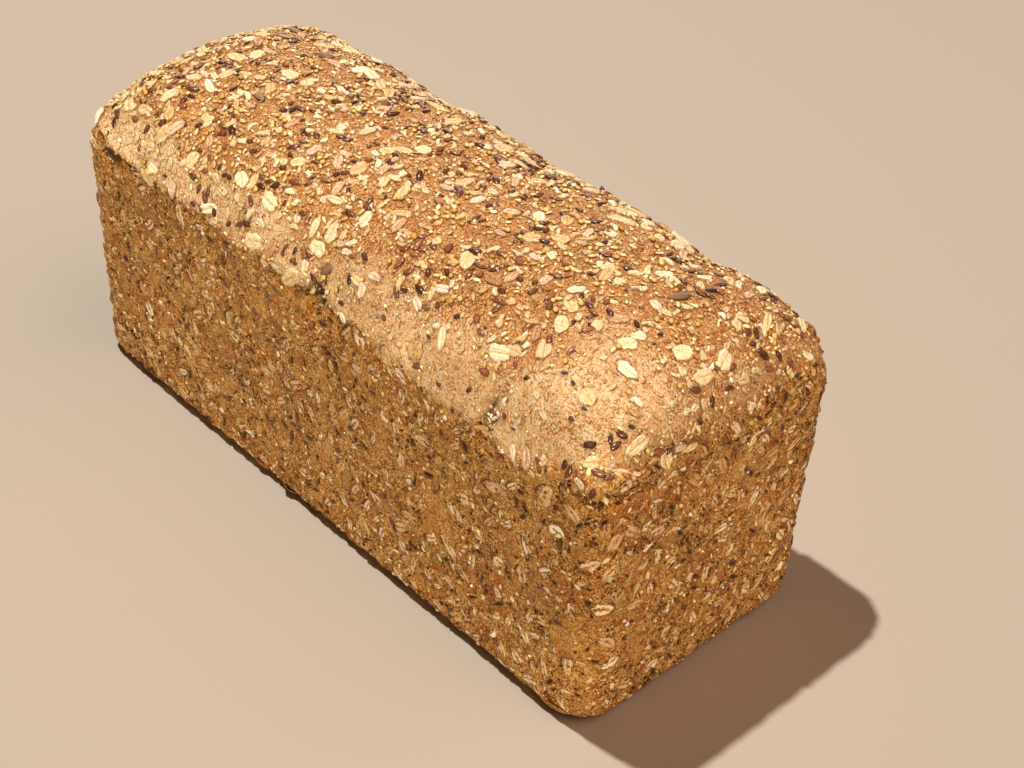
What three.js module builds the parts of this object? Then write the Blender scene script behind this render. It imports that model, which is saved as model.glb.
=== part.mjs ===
import * as THREE from 'three';

// Tin loaf, one solid piece, in millimetres, +Z up.
// It rests on its flat base at Z = 0, lies along X, and its long sides face -Y and +Y.

// ---------------------------------------------------------------------------
// Driving dimensions, mm
// ---------------------------------------------------------------------------
const LENGTH = 286;            // end to end, over the lip
const WIDTH = 112;             // side to side, over the lip
const RIM_HEIGHT = 92;         // where the dough rose out of the tin
const LIP_HEIGHT = 4;          // from the rim's crease up to the widest part of the lip
const CROWN_HEIGHT = 37;       // from the lip up to the top of the crown
const LIP_OVERHANG = 0.25;     // how far the lip stands out past the wall
const CREASE_DEPTH = 0.35;     // how far the rim's crease is pulled in behind the wall
const WALL_TAPER = 0.8;        // how far each wall leans in from the rim to the base
const FOOT_RADIUS = 5.5;       // rounding between the base and the walls
const CORNER_RADIUS = 12.5;    // plan rounding of the tin's upright corners
const CROWN_CORNER_GROWTH = 0.82;  // how fast the plan corners open up over the crown
const CROWN_FULLNESS = 3.3;    // higher keeps the crown flat for longer before it falls
const CROWN_SHOULDER = 0.6;    // lower makes the shoulder fuller

// The loaf was set in the tin as four pieces of dough, so it is nipped in three places.
// left and right are where a nip crosses the -Y and +Y shoulders, measured from mid length.
const NIPS = [
  { left: -58, right: -46, depth: 1.6, spread: 9 },
  { left: 4, right: 22, depth: 3.0, spread: 8 },
  { left: 89, right: 95, depth: 3.4, spread: 7 },
];
const SWELL = 0.8;             // slow unevenness of the crown
const SWELL_LENGTH = 64;       // its length along the loaf

// ---------------------------------------------------------------------------
// Mesh divisions
// ---------------------------------------------------------------------------
const CELLS_LONG = 48;
const CELLS_WIDE = 18;
const FOOT_STEPS = 3;
const WALL_STEPS = 6;
const LIP_STEPS = 2;
const CELLS_HIGH = FOOT_STEPS + WALL_STEPS + LIP_STEPS;

const halfLength = LENGTH / 2;
const halfWidth = WIDTH / 2;
const lipTop = RIM_HEIGHT + LIP_HEIGHT;
const ringCount = CELLS_WIDE / 2;

// Inset of the wall behind the lip's widest line, at height z.
function wallInset(z) {
  return LIP_OVERHANG + WALL_TAPER * (1 - z / RIM_HEIGHT);
}

// Inset and height of each contour up the side, from the base's edge to the lip.
function sideContour(level) {
  if (level <= FOOT_STEPS) {
    const angle = (level / FOOT_STEPS) * (Math.PI / 2);
    const z = FOOT_RADIUS * (1 - Math.cos(angle));
    return { inset: wallInset(z) + FOOT_RADIUS * (1 - Math.sin(angle)), z };
  }
  if (level < FOOT_STEPS + WALL_STEPS) {
    const part = (level - FOOT_STEPS) / WALL_STEPS;
    const z = FOOT_RADIUS + (RIM_HEIGHT - FOOT_RADIUS) * part;
    return { inset: wallInset(z), z };
  }
  if (level === FOOT_STEPS + WALL_STEPS) {
    return { inset: wallInset(RIM_HEIGHT) + CREASE_DEPTH, z: RIM_HEIGHT };
  }
  const part = (level - FOOT_STEPS - WALL_STEPS) / LIP_STEPS;
  const bulge = Math.sin(part * Math.PI / 2);
  return { inset: (LIP_OVERHANG + CREASE_DEPTH) * (1 - bulge), z: RIM_HEIGHT + LIP_HEIGHT * part };
}

// Inset and height of each contour over the crown, ring 0 being the lip.
function crownContour(ring) {
  const inset = halfWidth * Math.pow(ring / ringCount, 1.9);
  const across = 1 - inset / halfWidth;
  const rise = Math.pow(1 - Math.pow(across, CROWN_FULLNESS), CROWN_SHOULDER);
  return { inset, z: lipTop + CROWN_HEIGHT * rise };
}

// Inset of each contour under the loaf, ring 0 being the edge of the flat base.
function baseContour(ring) {
  const edge = wallInset(0) + FOOT_RADIUS;
  return { inset: edge + (halfWidth - edge) * (ring / ringCount), z: 0 };
}

// Moves a point of a rectangle's outline onto the same outline with rounded corners.
function roundedOutline(x, y, a, b, radius) {
  const cx = THREE.MathUtils.clamp(x, -(a - radius), a - radius);
  const cy = THREE.MathUtils.clamp(y, -(b - radius), b - radius);
  const reach = Math.hypot(x - cx, y - cy);
  if (reach < 1e-9) {
    return [x, y];
  }
  return [cx + (x - cx) * radius / reach, cy + (y - cy) * radius / reach];
}

// How deeply the dough is nipped at a point of the plan.
function nipDepth(x, y) {
  let depth = 0;
  for (const nip of NIPS) {
    const along = nip.left + (nip.right - nip.left) * (y / WIDTH + 0.5);
    depth += nip.depth * Math.exp(-Math.pow((x - along) / nip.spread, 2));
  }
  return depth;
}

// Places one vertex of the box, given by its cell numbers, on the loaf.
function loafPoint(i, j, k) {
  const ring = Math.min(i, CELLS_LONG - i, j, CELLS_WIDE - j);
  const onTop = k === CELLS_HIGH;
  const onBase = k === 0;
  let contour = sideContour(k);
  if (onTop) {
    contour = crownContour(ring);
  } else if (onBase) {
    contour = baseContour(ring);
  }
  const rings = onTop || onBase ? ring : 0;
  const a = halfLength - contour.inset;
  const b = Math.max(halfWidth - contour.inset, 0);
  const acrossLong = (i - CELLS_LONG / 2) / (CELLS_LONG / 2 - rings);
  const acrossWide = rings === ringCount ? 0 : (j - CELLS_WIDE / 2) / (CELLS_WIDE / 2 - rings);
  const growth = onTop ? CROWN_CORNER_GROWTH : 0.5;
  const radius = Math.min(CORNER_RADIUS + growth * contour.inset, b);
  let [x, y] = roundedOutline(acrossLong * a, acrossWide * b, a, b, radius);
  let z = contour.z;

  // The nips pull the lip in and the crown down, and fade out just below the rim.
  const nip = nipDepth(x, y);
  const fade = THREE.MathUtils.smoothstep(z, RIM_HEIGHT - 12, lipTop);
  const edge = Math.pow(Math.abs(y) / halfWidth, 4);
  y -= Math.sign(y) * nip * fade * edge * 0.55;
  z -= nip * fade * (onTop ? 0.45 + 0.55 * edge : 0);

  // Slow unevenness of the crown, still at the lip and full at the ridge.
  const height = Math.max(z - lipTop, 0) / CROWN_HEIGHT;
  z += SWELL * height * Math.sin(2 * Math.PI * x / SWELL_LENGTH + y / 30 + 0.9);
  return [x, y, z];
}

function makeLoaf() {
  const box = new THREE.BoxGeometry(2, 2, 2, CELLS_LONG, CELLS_WIDE, CELLS_HIGH);
  const position = box.attributes.position;
  for (let n = 0; n < position.count; n += 1) {
    const i = Math.round((position.getX(n) + 1) / 2 * CELLS_LONG);
    const j = Math.round((position.getY(n) + 1) / 2 * CELLS_WIDE);
    const k = Math.round((position.getZ(n) + 1) / 2 * CELLS_HIGH);
    position.setXYZ(n, ...loafPoint(i, j, k));
  }
  box.computeVertexNormals();
  return box;
}

const crust = new THREE.MeshStandardMaterial({ color: '#b57b43', roughness: 0.8, metalness: 0 });

const loaf = new THREE.Mesh(makeLoaf(), crust);
loaf.name = 'loaf';

const group = new THREE.Group();
group.name = 'tin_loaf';
group.add(loaf);

export default group;
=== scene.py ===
"""A seeded wholemeal tin loaf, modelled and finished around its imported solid."""

import logging
import math
from collections.abc import Sequence
from dataclasses import dataclass, field
from enum import Enum

import bpy
import numpy as np
from mathutils import Matrix, Vector, noise
from mathutils.bvhtree import BVHTree


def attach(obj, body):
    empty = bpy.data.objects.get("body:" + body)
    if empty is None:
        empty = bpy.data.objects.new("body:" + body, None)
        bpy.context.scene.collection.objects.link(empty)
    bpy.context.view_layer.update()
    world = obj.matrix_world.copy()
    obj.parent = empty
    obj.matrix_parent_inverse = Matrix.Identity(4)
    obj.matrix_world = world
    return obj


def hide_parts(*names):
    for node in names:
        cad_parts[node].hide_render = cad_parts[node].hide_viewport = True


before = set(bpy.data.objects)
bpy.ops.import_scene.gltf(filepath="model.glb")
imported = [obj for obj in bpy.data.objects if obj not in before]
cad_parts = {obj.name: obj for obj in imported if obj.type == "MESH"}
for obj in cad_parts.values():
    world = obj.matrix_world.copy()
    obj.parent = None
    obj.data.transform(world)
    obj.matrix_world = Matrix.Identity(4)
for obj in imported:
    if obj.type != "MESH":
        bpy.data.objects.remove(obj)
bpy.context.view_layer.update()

MM = 0.001
ROOT = "root"
LOAF_NODE = "loaf"
LENGTH = 286.0  # mm, end to end over the lip
WIDTH = 112.0  # mm, side to side over the lip
ZONE_LAYER = "zone"
TINT_LAYER = "tint"
FLAT_MAP = "flat"

log = logging.getLogger("tin_loaf")


# ---------------------------------------------------------------------------
# Small helpers
# ---------------------------------------------------------------------------


def linear(red: float, green: float, blue: float) -> tuple[float, float, float, float]:
    """Turns a display colour into the linear one that a shader takes.

    Args:
        red: Red from 0 to 255.
        green: Green from 0 to 255.
        blue: Blue from 0 to 255.

    Returns:
        The linear colour with full alpha.
    """
    parts = []
    for value in (red, green, blue):
        c = value / 255.0
        parts.append(c / 12.92 if c <= 0.04045 else ((c + 0.055) / 1.055) ** 2.4)
    return (parts[0], parts[1], parts[2], 1.0)


def smoothstep(x: np.ndarray, low: float, high: float) -> np.ndarray:
    """Eases from 0 at low to 1 at high.

    Args:
        x: Values to ease.
        low: Where the result is 0.
        high: Where the result is 1.

    Returns:
        An array like x, from 0 to 1.
    """
    t = np.clip((x - low) / (high - low), 0.0, 1.0)
    return t * t * (3.0 - 2.0 * t)


def lumps(points: np.ndarray, wavelength: float, shift: float = 0.0) -> np.ndarray:
    """Reads smooth random unevenness at each point.

    Args:
        points: Points in millimetres, one per row.
        wavelength: Typical distance between lumps, in millimetres.
        shift: Moves the pattern, so that two layers differ.

    Returns:
        One value per point, from about -1 to 1.
    """
    scaled = points / wavelength + shift
    read = noise.noise
    return np.array([read(p) for p in scaled.tolist()])


def deselect_all() -> None:
    """Leaves object mode with nothing selected."""
    if bpy.context.object is not None and bpy.context.object.mode != "OBJECT":
        bpy.ops.object.mode_set(mode="OBJECT")
    bpy.ops.object.select_all(action="DESELECT")


def take_away(piece: bpy.types.Object) -> None:
    """Removes an object and its mesh."""
    mesh = piece.data
    bpy.data.objects.remove(piece)
    bpy.data.meshes.remove(mesh)


def vertex_points(mesh: bpy.types.Mesh) -> np.ndarray:
    """Gives a mesh's vertices as rows of metres."""
    co = np.empty(len(mesh.vertices) * 3)
    mesh.vertices.foreach_get("co", co)
    return co.reshape(-1, 3)


# ---------------------------------------------------------------------------
# Shader graph helper
# ---------------------------------------------------------------------------


Socket = bpy.types.NodeSocket
Feed = Socket | float

# The Mix node's colour sockets share their names with its number sockets, so they go by place.
MIX_FIRST, MIX_SECOND, MIX_RESULT = 6, 7, 2


class Shader:
    """A material's node graph, with one method for each kind of node used here."""

    def __init__(self, name: str) -> None:
        """Starts an empty material with a Principled shader.

        Args:
            name: The material's name.
        """
        self.material = bpy.data.materials.new(name)
        self.material.use_nodes = True
        self.tree = self.material.node_tree
        self.tree.nodes.clear()
        self.body = self.tree.nodes.new("ShaderNodeBsdfPrincipled")
        output = self.tree.nodes.new("ShaderNodeOutputMaterial")
        self.link(self.body.outputs["BSDF"], output.inputs["Surface"])

    def link(self, source: Socket, target: Socket) -> None:
        """Joins one socket to another."""
        self.tree.links.new(source, target)

    def feed(self, target: Socket, value: Feed) -> None:
        """Sets a socket from another socket or a number.

        Args:
            target: The input to set.
            value: A socket to link, or a number.
        """
        if isinstance(value, bpy.types.NodeSocket):
            self.link(value, target)
        else:
            target.default_value = value

    def place(self) -> Socket:
        """Gives the point on the piece in millimetres.

        Returns:
            A vector socket.
        """
        coords = self.tree.nodes.new("ShaderNodeTexCoord")
        mapping = self.tree.nodes.new("ShaderNodeMapping")
        mapping.inputs["Scale"].default_value = (1.0 / MM,) * 3
        self.link(coords.outputs["Object"], mapping.inputs["Vector"])
        return mapping.outputs["Vector"]

    def noise(
        self, vector: Socket, scale: float, detail: float = 3.0, roughness: float = 0.55
    ) -> Socket:
        """Adds a soft noise.

        Args:
            vector: Where to read it.
            scale: Lumps per millimetre of the vector.
            detail: Layers of finer noise.
            roughness: Strength of the finer layers.

        Returns:
            The noise's value.
        """
        node = self.tree.nodes.new("ShaderNodeTexNoise")
        self.link(vector, node.inputs["Vector"])
        node.inputs["Scale"].default_value = scale
        node.inputs["Detail"].default_value = detail
        node.inputs["Roughness"].default_value = roughness
        return node.outputs["Fac"]

    def cells(self, vector: Socket, scale: float) -> tuple[Socket, Socket]:
        """Adds a cell pattern.

        Args:
            vector: Where to read it.
            scale: Cells per millimetre of the vector.

        Returns:
            The distance to the cell's centre, and the cell's own random value.
        """
        node = self.tree.nodes.new("ShaderNodeTexVoronoi")
        self.link(vector, node.inputs["Vector"])
        node.inputs["Scale"].default_value = scale
        parts = self.tree.nodes.new("ShaderNodeSeparateColor")
        self.link(node.outputs["Color"], parts.inputs["Color"])
        return node.outputs["Distance"], parts.outputs["Red"]

    def drift(self, vector: Socket, scale: float, reach: float) -> Socket:
        """Pushes a vector about, so that a pattern read there has no straight edges.

        Args:
            vector: The vector to move.
            scale: Lumps per millimetre of the push.
            reach: How far it pushes, in millimetres.

        Returns:
            The moved vector.
        """
        node = self.tree.nodes.new("ShaderNodeTexNoise")
        self.link(vector, node.inputs["Vector"])
        node.inputs["Scale"].default_value = scale
        node.inputs["Detail"].default_value = 2.0
        push = self.tree.nodes.new("ShaderNodeVectorMath")
        push.operation = "MULTIPLY_ADD"
        self.link(node.outputs["Color"], push.inputs[0])
        push.inputs[1].default_value = (2.0 * reach,) * 3
        self.link(vector, push.inputs[2])
        return push.outputs["Vector"]

    def cracks(self, vector: Socket, scale: float, width: float) -> Socket:
        """Adds a net of thin lines.

        Args:
            vector: Where to read it.
            scale: Meshes per millimetre of the vector.
            width: Width of a line as a share of a mesh.

        Returns:
            1 on a line and 0 off it.
        """
        node = self.tree.nodes.new("ShaderNodeTexVoronoi")
        node.feature = "DISTANCE_TO_EDGE"
        self.link(vector, node.inputs["Vector"])
        node.inputs["Scale"].default_value = scale
        return self.band(node.outputs["Distance"], width, width * 0.25)

    def math(self, operation: str, first: Feed, second: Feed = 0.0) -> Socket:
        """Adds a sum, product or other operation on two values.

        Args:
            operation: The Math node's operation.
            first: The first value.
            second: The second value.

        Returns:
            The result.
        """
        node = self.tree.nodes.new("ShaderNodeMath")
        node.operation = operation
        self.feed(node.inputs[0], first)
        self.feed(node.inputs[1], second)
        return node.outputs["Value"]

    def band(self, value: Feed, low: float, high: float) -> Socket:
        """Maps low to 0 and high to 1 with a smooth ease.

        Args:
            value: The value to map.
            low: Gives 0. May be above high, to turn the band round.
            high: Gives 1.

        Returns:
            The eased value.
        """
        node = self.tree.nodes.new("ShaderNodeMapRange")
        node.interpolation_type = "SMOOTHSTEP"
        self.feed(node.inputs["Value"], value)
        node.inputs["From Min"].default_value = low
        node.inputs["From Max"].default_value = high
        return node.outputs["Result"]

    def ramp(
        self, value: Socket, stops: Sequence[tuple[float, tuple[float, float, float]]]
    ) -> Socket:
        """Turns a value into a colour.

        Args:
            value: The value to colour.
            stops: Places and display colours, in rising order.

        Returns:
            The colour.
        """
        node = self.tree.nodes.new("ShaderNodeValToRGB")
        elements = node.color_ramp.elements
        while len(elements) < len(stops):
            elements.new(0.5)
        for element, (place, colour) in zip(elements, stops):
            element.position = place
            element.color = linear(*colour)
        self.link(value, node.inputs["Fac"])
        return node.outputs["Color"]

    def mix(
        self,
        share: Feed,
        first: Socket | tuple[float, float, float],
        second: Socket | tuple[float, float, float],
        blend: str = "MIX",
    ) -> Socket:
        """Mixes two colours.

        Args:
            share: How much of the second colour shows.
            first: A socket or a display colour.
            second: A socket or a display colour.
            blend: The Mix node's blend type.

        Returns:
            The mixed colour.
        """
        node = self.tree.nodes.new("ShaderNodeMix")
        node.data_type = "RGBA"
        node.blend_type = blend
        self.feed(node.inputs["Factor"], share)
        sides = ((node.inputs[MIX_FIRST], first), (node.inputs[MIX_SECOND], second))
        for socket, colour in sides:
            if isinstance(colour, tuple):
                socket.default_value = linear(*colour)
            else:
                self.link(colour, socket)
        return node.outputs[MIX_RESULT]

    def attribute(self, name: str) -> tuple[Socket, Socket, Socket, Socket]:
        """Reads a colour attribute of the piece.

        Args:
            name: The attribute's name.

        Returns:
            Its red, green, blue and alpha.
        """
        node = self.tree.nodes.new("ShaderNodeAttribute")
        node.attribute_name = name
        parts = self.tree.nodes.new("ShaderNodeSeparateColor")
        self.link(node.outputs["Color"], parts.inputs["Color"])
        red, green, blue = (parts.outputs[n] for n in ("Red", "Green", "Blue"))
        return red, green, blue, node.outputs["Alpha"]

    def flat_place(self, name: str, scale: tuple[float, float]) -> Socket:
        """Gives the point on a flake's own map, stretched by scale.

        Args:
            name: The UV map's name.
            scale: Pattern scale along and across the flake.

        Returns:
            A vector socket.
        """
        node = self.tree.nodes.new("ShaderNodeUVMap")
        node.uv_map = name
        mapping = self.tree.nodes.new("ShaderNodeMapping")
        mapping.inputs["Scale"].default_value = (scale[0], scale[1], 1.0)
        self.link(node.outputs["UV"], mapping.inputs["Vector"])
        return mapping.outputs["Vector"]

    def bump(self, height: Socket, depth: float, strength: float) -> None:
        """Raises the surface by a height pattern.

        Args:
            height: The pattern, 1 being the top.
            depth: Height of the pattern, in millimetres.
            strength: How much of it shows.
        """
        node = self.tree.nodes.new("ShaderNodeBump")
        node.inputs["Strength"].default_value = strength
        node.inputs["Distance"].default_value = depth * MM
        self.link(height, node.inputs["Height"])
        self.link(node.outputs["Normal"], self.body.inputs["Normal"])

    def finish(
        self, colour: Socket, roughness: Feed, specular: float
    ) -> bpy.types.Material:
        """Joins the colour and gloss to the shader.

        Args:
            colour: The base colour.
            roughness: The roughness.
            specular: The specular level.

        Returns:
            The finished material.
        """
        self.link(colour, self.body.inputs["Base Color"])
        self.feed(self.body.inputs["Roughness"], roughness)
        self.body.inputs["Specular IOR Level"].default_value = specular
        return self.material


# ---------------------------------------------------------------------------
# Finishes
# ---------------------------------------------------------------------------


@dataclass(frozen=True)
class CrustFinish:
    """Baked wholemeal crust: ochre on the walls, redder on top, paler on the shoulders, with painted
    shade in its hollows.
    """

    name: str = "wholemeal_crust"
    layer: str = ZONE_LAYER

    def spots(self, s: Shader, where: Socket, scale: float, size: float, share: float) -> Socket:
        """Adds scattered spots.

        Args:
            s: The material's graph.
            where: Where to read them.
            scale: Places for a spot per millimetre.
            size: Radius of a spot as a share of the space between places.
            share: Share of the places that hold one.

        Returns:
            1 inside a spot and 0 outside.
        """
        distance, chance = s.cells(where, scale)
        inside = s.band(distance, size, size * 0.7)
        return s.math("MULTIPLY", inside, s.band(chance, 1.0 - share, 1.0 - share * 0.85))

    def build(self) -> bpy.types.Material:
        """Makes the crust's material.

        Returns:
            The material, which reads the piece's zone attribute.
        """
        s = Shader(self.name)
        here = s.place()
        top, pale, hollow_shade, red = s.attribute(self.layer)
        loose = s.drift(here, 0.7, 0.8)
        fine = s.noise(here, 1.5, 4.0, 0.72)
        grain = s.noise(loose, 0.36, 3.0, 0.62)
        tone = s.math("ADD", s.math("MULTIPLY", fine, 0.72), s.math("MULTIPLY", grain, 0.28))
        tone = s.band(tone, 0.39, 0.61)
        calm = s.math("MULTIPLY", s.band(s.noise(here, 0.1, 2.0), 0.4, 0.6), 0.4)
        calm = s.math("MAXIMUM", calm, s.math("MULTIPLY", pale, 0.12))
        tone = s.math("MULTIPLY", tone, s.math("SUBTRACT", 1.0, calm))
        tone = s.math("ADD", tone, s.math("MULTIPLY", calm, 0.52))

        wall = s.ramp(
            tone,
            (
                (0.0, (62, 28, 8)),
                (0.26, (154, 92, 34)),
                (0.55, (210, 147, 62)),
                (1.0, (255, 224, 140)),
            ),
        )
        crown = s.ramp(
            tone,
            (
                (0.0, (92, 44, 14)),
                (0.28, (176, 108, 50)),
                (0.55, (216, 154, 87)),
                (1.0, (255, 216, 152)),
            ),
        )
        shoulder = s.ramp(
            tone,
            (
                (0.0, (140, 80, 34)),
                (0.3, (228, 174, 112)),
                (0.55, (255, 212, 152)),
                (1.0, (255, 246, 212)),
            ),
        )
        colour = s.mix(top, wall, crown)
        colour = s.mix(pale, colour, shoulder)
        warmer = s.math("MULTIPLY", s.band(s.noise(loose, 0.4, 3.0), 0.46, 0.62), 0.55)
        warmer = s.math("MULTIPLY", warmer, s.math("SUBTRACT", 1.0, s.math("MULTIPLY", pale, 0.6)))
        warmer = s.math("MAXIMUM", warmer, red)
        colour = s.mix(warmer, colour, (250, 204, 160), "MULTIPLY")
        plain = s.math("SUBTRACT", 1.0, s.math("MAXIMUM", top, pale))
        rust = s.math("MULTIPLY", s.band(s.noise(loose, 0.11, 3.0, 0.6), 0.5, 0.62), plain)
        colour = s.mix(s.math("MULTIPLY", rust, 0.5), colour, (240, 196, 152), "MULTIPLY")
        gold = s.math("MULTIPLY", s.band(s.noise(here, 0.085, 3.0, 0.6), 0.5, 0.64), plain)
        colour = s.mix(s.math("MULTIPLY", gold, 0.32), colour, (226, 172, 82))
        broad = s.noise(here, 0.045, 2.0, 0.5)
        shade = s.ramp(broad, ((0.32, (226, 218, 206)), (0.66, (255, 255, 255))))
        colour = s.mix(1.0, colour, shade, "MULTIPLY")

        line = s.math("MULTIPLY", s.cracks(loose, 0.42, 0.06), s.band(grain, 0.5, 0.6))
        line = s.math("MULTIPLY", line, s.math("SUBTRACT", 1.0, s.math("MULTIPLY", pale, 0.75)))
        colour = s.mix(s.math("MULTIPLY", line, 0.6), colour, (96, 50, 20))
        on_wall = s.math("SUBTRACT", 1.0, s.math("MULTIPLY", top, 0.6))
        rough = s.math("MULTIPLY", on_wall, s.math("SUBTRACT", 1.0, s.math("MULTIPLY", pale, 0.8)))
        # Painted shade: small pits on the walls darken toward (66, 32, 12), the shade in their
        # hollows; the bump also sinks them.
        shaded_pit = s.math("MULTIPLY", self.spots(s, loose, 0.42, 0.33, 0.24), rough)
        colour = s.mix(s.math("MULTIPLY", shaded_pit, 0.9), colour, (66, 32, 12))
        stain = s.math("MULTIPLY", s.band(s.noise(loose, 0.22, 3.0, 0.6), 0.56, 0.64), rough)
        colour = s.mix(s.math("MULTIPLY", stain, 0.5), colour, (120, 68, 26))
        bran = self.spots(s, loose, 0.75, 0.4, 0.14)
        colour = s.mix(s.math("MULTIPLY", bran, 0.6), colour, (112, 56, 24))
        fleck = self.spots(s, loose, 1.05, 0.46, 0.2)
        colour = s.mix(s.math("MULTIPLY", fleck, 0.6), colour, (255, 218, 148))
        # Painted shade: folds, pockets, burst bubbles and the crevices round pressed flakes darken
        # toward (40, 18, 6).
        colour = s.mix(s.math("MULTIPLY", hollow_shade, 0.95), colour, (40, 18, 6))

        height = s.math("ADD", s.math("MULTIPLY", fine, 0.8), s.math("MULTIPLY", grain, 1.1))
        height = s.math("SUBTRACT", height, s.math("MULTIPLY", shaded_pit, 0.7))
        height = s.math("SUBTRACT", height, s.math("MULTIPLY", line, 0.3))
        height = s.math("ADD", height, s.math("MULTIPLY", fleck, 0.25))
        s.bump(height, 1.15, 0.9)
        gloss = s.ramp(fine, ((0.35, (215, 215, 215)), (0.65, (170, 170, 170))))
        return s.finish(colour, gloss, 0.3)


@dataclass(frozen=True)
class FlakeFinish:
    """A rolled grain: pale and fibrous, with a groove along it, and its edge and underside painted
    dark as shade.
    """

    name: str
    light: tuple[float, float, float]
    dark: tuple[float, float, float]
    edge: tuple[float, float, float]
    groove: float = 0.6
    layer: str = TINT_LAYER
    flat: str = FLAT_MAP

    def build(self) -> bpy.types.Material:
        """Makes the flake's material.

        Returns:
            The material, which reads the piece's tint attribute and flat map.
        """
        s = Shader(self.name)
        here = s.place()
        hue, bright, painted_shade, baked = s.attribute(self.layer)
        along = s.flat_place(self.flat, (2.5, 22.0))
        shift = s.tree.nodes.new("ShaderNodeVectorMath")
        shift.operation = "ADD"
        s.link(along, shift.inputs[0])
        spread = s.tree.nodes.new("ShaderNodeCombineXYZ")
        s.link(s.math("MULTIPLY", hue, 40.0), spread.inputs["Z"])
        s.link(spread.outputs["Vector"], shift.inputs[1])
        fibre = s.noise(shift.outputs["Vector"], 1.0, 3.0, 0.6)
        speck = s.noise(here, 1.4, 4.0, 0.65)
        lift = s.math("MULTIPLY", s.math("SUBTRACT", hue, 0.5), 0.12)
        blend = s.math("ADD", s.math("MULTIPLY", fibre, 0.5), s.math("MULTIPLY", speck, 0.5))
        # The near-white top stop paints pale fibre and painted highlights where the fibre and speck
        # noise run high.
        colour = s.ramp(
            s.math("ADD", blend, lift),
            ((0.36, self.dark), (0.48, self.light), (0.6, (255, 248, 220))),
        )
        across = s.flat_place(self.flat, (0.0, 1.0))
        parts = s.tree.nodes.new("ShaderNodeSeparateXYZ")
        s.link(across, parts.inputs["Vector"])
        off_line = s.math("ABSOLUTE", s.math("SUBTRACT", parts.outputs["Y"], 0.5))
        wander = s.math("MULTIPLY", s.noise(here, 0.5, 2.0), 0.14)
        off_line = s.math("ABSOLUTE", s.math("SUBTRACT", s.math("ADD", off_line, wander), 0.07))
        line = s.math("MULTIPLY", s.band(off_line, 0.06, 0.01), self.groove)
        colour = s.mix(line, colour, self.dark)
        colour = s.mix(baked, colour, (214, 156, 84))
        shade = s.ramp(bright, ((0.0, (210, 176, 138)), (1.0, (255, 255, 255))))
        colour = s.mix(1.0, colour, shade, "MULTIPLY")
        # Painted shade: the thick edge and underside go toward the dark edge colour.
        colour = s.mix(painted_shade, colour, self.edge)
        height = s.math("SUBTRACT", s.math("ADD", fibre, speck), line)
        s.bump(height, 0.4, 0.8)
        return s.finish(colour, 0.72, 0.3)


@dataclass(frozen=True)
class SeedFinish:
    """A whole seed or grain: its own colour, varied from seed to seed, with its underside painted
    dark as shade.
    """

    name: str
    light: tuple[float, float, float]
    dark: tuple[float, float, float]
    roughness: float
    specular: float = 0.5
    edge: tuple[float, float, float] = (84, 46, 22)
    grain: float = 0.8
    depth: float = 0.12
    layer: str = TINT_LAYER

    def build(self) -> bpy.types.Material:
        """Makes the seed's material.

        Returns:
            The material, which reads the piece's tint attribute.
        """
        s = Shader(self.name)
        here = s.place()
        hue, bright, painted_shade, baked = s.attribute(self.layer)
        mottle = s.noise(here, self.grain, 3.0, 0.6)
        blend = s.math("ADD", s.math("MULTIPLY", mottle, 0.6), s.math("MULTIPLY", hue, 0.5))
        colour = s.mix(s.band(blend, 0.3, 0.85), self.dark, self.light)
        colour = s.mix(baked, colour, (172, 112, 60))
        shade = s.ramp(bright, ((0.0, (170, 158, 142)), (1.0, (255, 255, 255))))
        colour = s.mix(1.0, colour, shade, "MULTIPLY")
        # Painted shade: the underside goes toward the dark edge colour.
        colour = s.mix(painted_shade, colour, self.edge)
        s.bump(mottle, self.depth, 0.6)
        return s.finish(colour, self.roughness, self.specular)


# ---------------------------------------------------------------------------
# The crust
# ---------------------------------------------------------------------------


@dataclass(frozen=True)
class Nip:
    """A fold where two pieces of dough met, in millimetres from mid length."""

    left: float
    right: float
    depth: float
    spread: float
    cut: float


@dataclass(frozen=True)
class Pocket:
    """A torn hollow in the long side, in millimetres from mid length and up from the base."""

    along: float
    height: float
    wide: float
    high: float
    depth: float


@dataclass(frozen=True)
class Unevenness:
    """One layer of lumps in the crust, in millimetres, with what the crown adds to its depth."""

    wavelength: float
    shift: float
    depth: float
    crown_extra: float = 0.0

    def read(self, points: np.ndarray) -> np.ndarray:
        """Gives the layer's lumps at each point, from about -1 to 1."""
        return lumps(points, self.wavelength, self.shift)


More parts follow.
